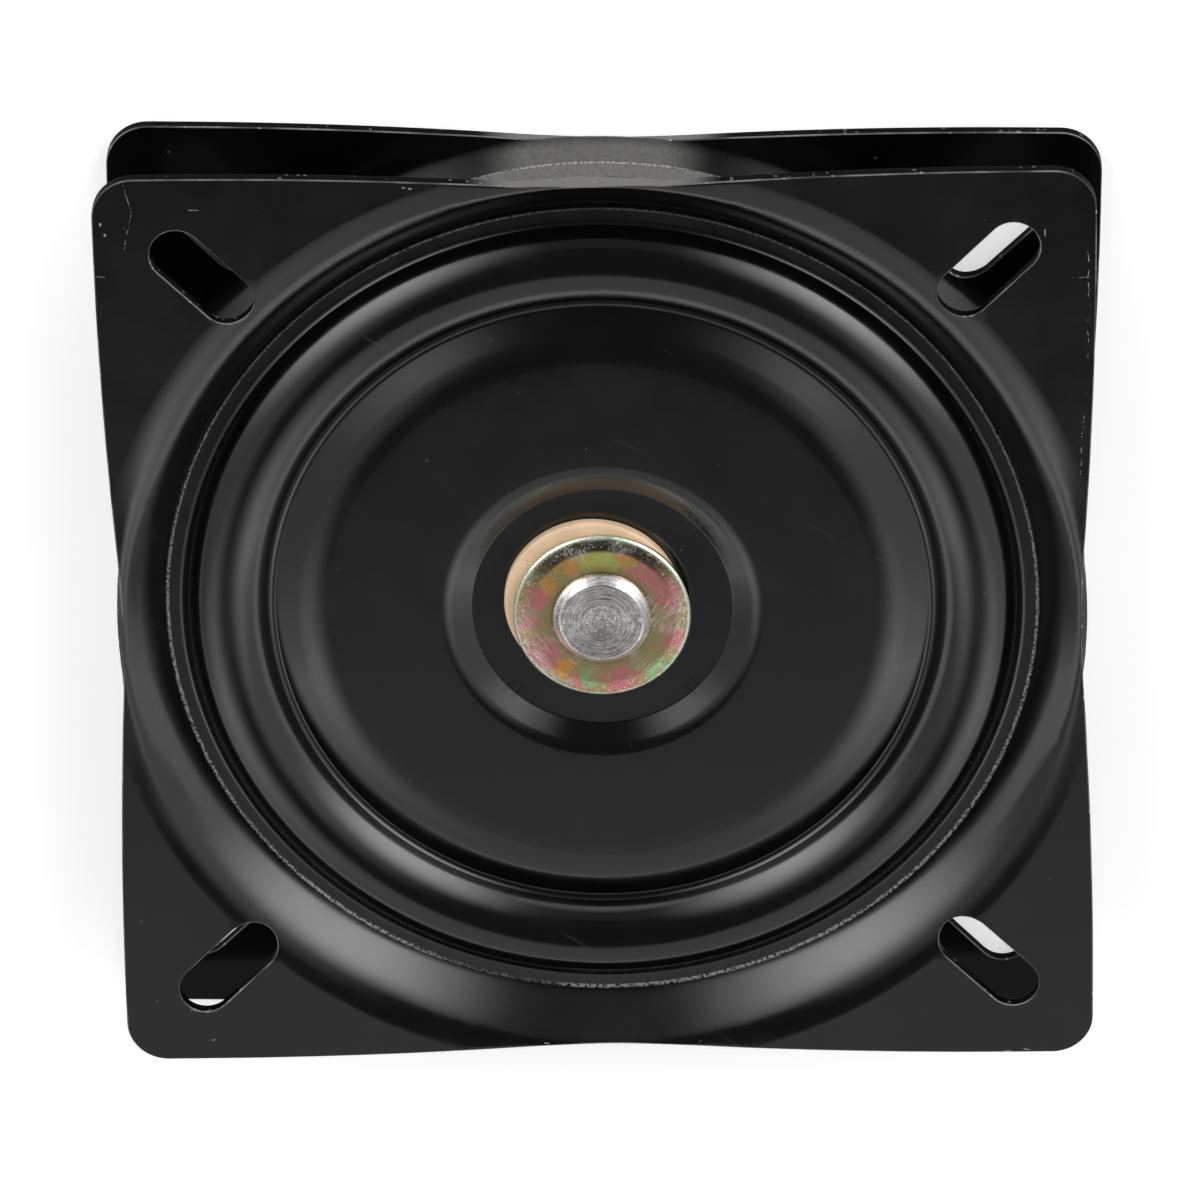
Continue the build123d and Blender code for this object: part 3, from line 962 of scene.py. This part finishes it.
class SWIVEL_OT_plate_cover_washer(bpy.types.Operator):
    """Form the yellow zinc washer under the rivet head"""
    bl_idname = "swivel.plate_cover_washer"
    bl_label = "Zinc Washer"

    def execute(self, context):
        low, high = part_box("cover_washer")
        base, top, rim = low.z / MM, high.z / MM, (high.x - low.x) / 2 / MM
        line = rounded_line([
            (6.4, base + 0.9, 0.0), (6.4, base, 0.08), (rim, base, 0.5), (rim, base + 1.1, 0.3),
            (rim - 0.38, top - 0.40, 0.6), (rim - 2.7, top, 5.0), (6.4, top, 0.08),
            (6.4, base + 0.9, 0.0)], run_step=0.5, arc_step=0.15)
        mesh = turned_mesh("zinc_washer_skin", line[:-1], 192, closed=True)
        dress("zinc_washer", mesh, "base", "cover_washer", "yellow_zinc_steel",
              yellow_zinc(context.scene.swivel_pivot))
        return {"FINISHED"}


class SWIVEL_OT_mould_thrust_washer(bpy.types.Operator):
    """Mould the cream nylon washer between the zinc washer and the plate"""
    bl_idname = "swivel.mould_thrust_washer"
    bl_label = "Nylon Washer"

    def execute(self, context):
        low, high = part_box("thrust_washer")
        base, top, rim = low.z / MM, high.z / MM, (high.x - low.x) / 2 / MM
        half = (base + top) / 2
        line = rounded_line([
            (9.2, half, 0.0), (9.2, base, 0.08), (rim, base, 0.7), (rim, top, 0.7),
            (9.2, top, 0.08), (9.2, half, 0.0)], run_step=0.8, arc_step=0.12)
        middle = (low + high) / 2
        mesh = turned_mesh("nylon_washer_skin", line[:-1], 160, closed=True,
                           shift=(middle.x, middle.y))
        dress("nylon_washer", mesh, "base", "thrust_washer", "cream_nylon",
              moulded_nylon("cream_nylon_seen", context.scene.swivel_pivot))
        return {"FINISHED"}


class SWIVEL_OT_finish_bearing(bpy.types.Operator):
    """Give the balls and the hidden spacer their finish"""
    bl_idname = "swivel.finish_bearing"
    bl_label = "Balls and Spacer"

    def execute(self, context):
        steel = bearing_steel()
        nylon = moulded_nylon("cream_nylon_spacer", context.scene.swivel_pivot)
        for name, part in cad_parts.items():
            if name.startswith("race_ball_"):
                repaint(part, steel)
        repaint(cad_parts["floor_spacer"], nylon)
        return {"FINISHED"}


def repaint(part, material):
    if not part.material_slots:
        part.data.materials.append(material)
    for slot in part.material_slots:
        slot.material = material


# -------- the stage

def floor_material(settings):
    """Pale floor that glows only where the camera, a gloss or a clear body shows it."""
    net = fresh_material("stage_floor")
    path = net.node("LightPath", {})
    seen = net.most(path["Is Camera Ray"], path["Is Glossy Ray"], path["Is Transmission Ray"])
    for key, value in (("Base Color", settings.floor_color), ("Roughness", 0.9),
                       ("Specular IOR Level", 0.0), ("Emission Color", (1.0, 1.0, 1.0, 1.0)),
                       ("Emission Strength", net.times(seen, 0.55))):
        net.fill(net.shader[key], value)
    return net.material


# The soft panels round the object: the way to each one's middle as its share to the right and
# to the back, its half width and half height on the same scale, the share of it that is
# evenly bright, and its brightness.
SOFT_PANELS = (
    ("left softbox", -0.761, 0.725, 0.615, 0.770, 0.0, 3.55),
    ("right softbox", 0.758, 0.655, 0.565, 0.690, 0.0, 4.15),
    ("left wall", -0.676, 0.099, 0.473, 0.895, 0.40, 0.386),
    ("right wall", 1.143, -0.102, 0.963, 0.816, 0.65, 0.585),
    ("left reflector", -0.478, -0.540, 0.420, 0.325, 0.04, 0.833),
    ("right reflector", 0.450, -0.570, 0.420, 0.360, 0.0, 0.908),
    ("sweep", 0.0, -0.950, 1.070, 0.535, 0.85, 0.45),
    ("front wall", 0.0, 0.831, 0.462, 0.144, 0.9, 0.085),
    ("low front light", 0.0, 1.050, 0.480, 0.160, 0.3, 1.00),
)


def studio_world(settings):
    """Soft panels round a dark ceiling; plain white where the camera sees past the floor."""
    world = bpy.data.worlds.new("studio")
    world.use_nodes = True
    net = Net(world.node_tree)
    way = net.node("TexCoord", {})["Generated"]
    room = settings.ceiling_level
    for name, right, back, width, height, even, level in SOFT_PANELS:
        spot = net.node("Mapping", {
            "Vector": way, "Location": (-right / width, -back / height, 0.0),
            "Scale": (1 / width, 1 / height, 0.0)}, label=name)[0]
        gap = net.vector("LENGTH", spot, result="Value")
        room = net.plus(room, net.ease(gap, 1.0, even, 0.0, level))

    # Metal and gloss show the white background round the object, below the ceiling.
    path = net.node("LightPath", {})
    backdrop = net.times(net.fade(net.parts(way)["Z"], 0.24, 0.42), path["Is Glossy Ray"])
    room = net.most(net.times(room, settings.light_level), backdrop)
    seen = net.most(path["Is Camera Ray"], path["Is Transmission Ray"])
    level = net.node("Mix", {0: seen, 2: room, 3: 1.0}, data_type="FLOAT")[0]
    ground = world.node_tree.nodes["Background"].inputs
    net.fill(ground["Color"], (1.0, 1.0, 1.0, 1.0))
    net.fill(ground["Strength"], level)
    return world


# The camera fitted to the photograph: focal length and picture in pixels, film in millimetres.
FOCAL_PIXELS, PICTURE_PIXELS, FILM_WIDTH = 9957.923, 1200, 36.0


class SWIVEL_OT_set_stage(bpy.types.Operator):
    """Lay the floor and set the studio light and the camera"""
    bl_idname = "swivel.set_stage"
    bl_label = "Stage"

    def execute(self, context):
        settings = context.scene.swivel_stage
        work = bmesh.new()
        bmesh.ops.create_grid(work, x_segments=8, y_segments=8, size=9.0)
        mesh = bpy.data.meshes.new("stage_floor")
        work.to_mesh(mesh)
        work.free()
        floor = fresh_object("stage_floor", mesh)
        floor.location.z = -0.2 * MM
        floor.data.materials.append(floor_material(settings))

        scene = context.scene
        scene.world = studio_world(settings)
        scene.view_settings.view_transform = "Standard"

        view = bpy.data.cameras.new("photo_camera")
        view.sensor_fit = "HORIZONTAL"
        view.sensor_width = FILM_WIDTH
        view.lens = FILM_WIDTH * FOCAL_PIXELS / PICTURE_PIXELS
        view.clip_start, view.clip_end = 0.05, 60.0
        camera = bpy.data.objects.new("photo_camera", view)
        scene.collection.objects.link(camera)
        right = Vector((0.999729, -0.017849, -0.014931))
        up = Vector((0.009244, 0.893440, -0.449087))
        back = Vector((0.021356, 0.448828, 0.893363))
        camera.matrix_world = Matrix((
            (right.x, up.x, back.x, 0.038144),
            (right.y, up.y, back.y, 0.811201),
            (right.z, up.z, back.z, 1.604443 + TOP_FACE),
            (0.0, 0.0, 0.0, 1.0)))
        scene.camera = camera
        return {"FINISHED"}


# -------- the add-on

class SWIVEL_PT_sidebar(bpy.types.Panel):
    """The steps that dress the swivel"""
    bl_idname = "SWIVEL_PT_sidebar"
    bl_label = "Seat Swivel"
    bl_space_type = "VIEW_3D"
    bl_region_type = "UI"
    bl_category = "Swivel"

    def draw(self, context):
        column = self.layout.column(align=True)
        for group, steps in (
                (context.scene.swivel_plates, ("press_plates",)),
                (context.scene.swivel_pivot, ("peen_rivet", "plate_cover_washer",
                                              "mould_thrust_washer", "finish_bearing")),
                (context.scene.swivel_stage, ("set_stage",))):
            for key in group.bl_rna.properties.keys():
                if key not in ("rna_type", "name"):
                    column.prop(group, key)
            for step in steps:
                column.operator("swivel." + step)


GROUPS = (
    ("swivel_plates", PlateSettings),
    ("swivel_pivot", PivotSettings),
    ("swivel_stage", StageSettings),
)
CLASSES = (
    PlateSettings, PivotSettings, StageSettings,
    SWIVEL_OT_press_plates, SWIVEL_OT_peen_rivet, SWIVEL_OT_plate_cover_washer,
    SWIVEL_OT_mould_thrust_washer, SWIVEL_OT_finish_bearing, SWIVEL_OT_set_stage,
    SWIVEL_PT_sidebar,
)


def register():
    for kind in CLASSES:
        bpy.utils.register_class(kind)
    for name, group in GROUPS:
        setattr(bpy.types.Scene, name, bpy.props.PointerProperty(type=group))


def unregister():
    for name, group in GROUPS:
        delattr(bpy.types.Scene, name)
    for kind in reversed(CLASSES):
        bpy.utils.unregister_class(kind)


def main():
    register()
    bpy.ops.swivel.press_plates()
    bpy.ops.swivel.peen_rivet()
    bpy.ops.swivel.plate_cover_washer()
    bpy.ops.swivel.mould_thrust_washer()
    bpy.ops.swivel.finish_bearing()
    bpy.ops.swivel.set_stage()


if __name__ == "__main__":
    main()
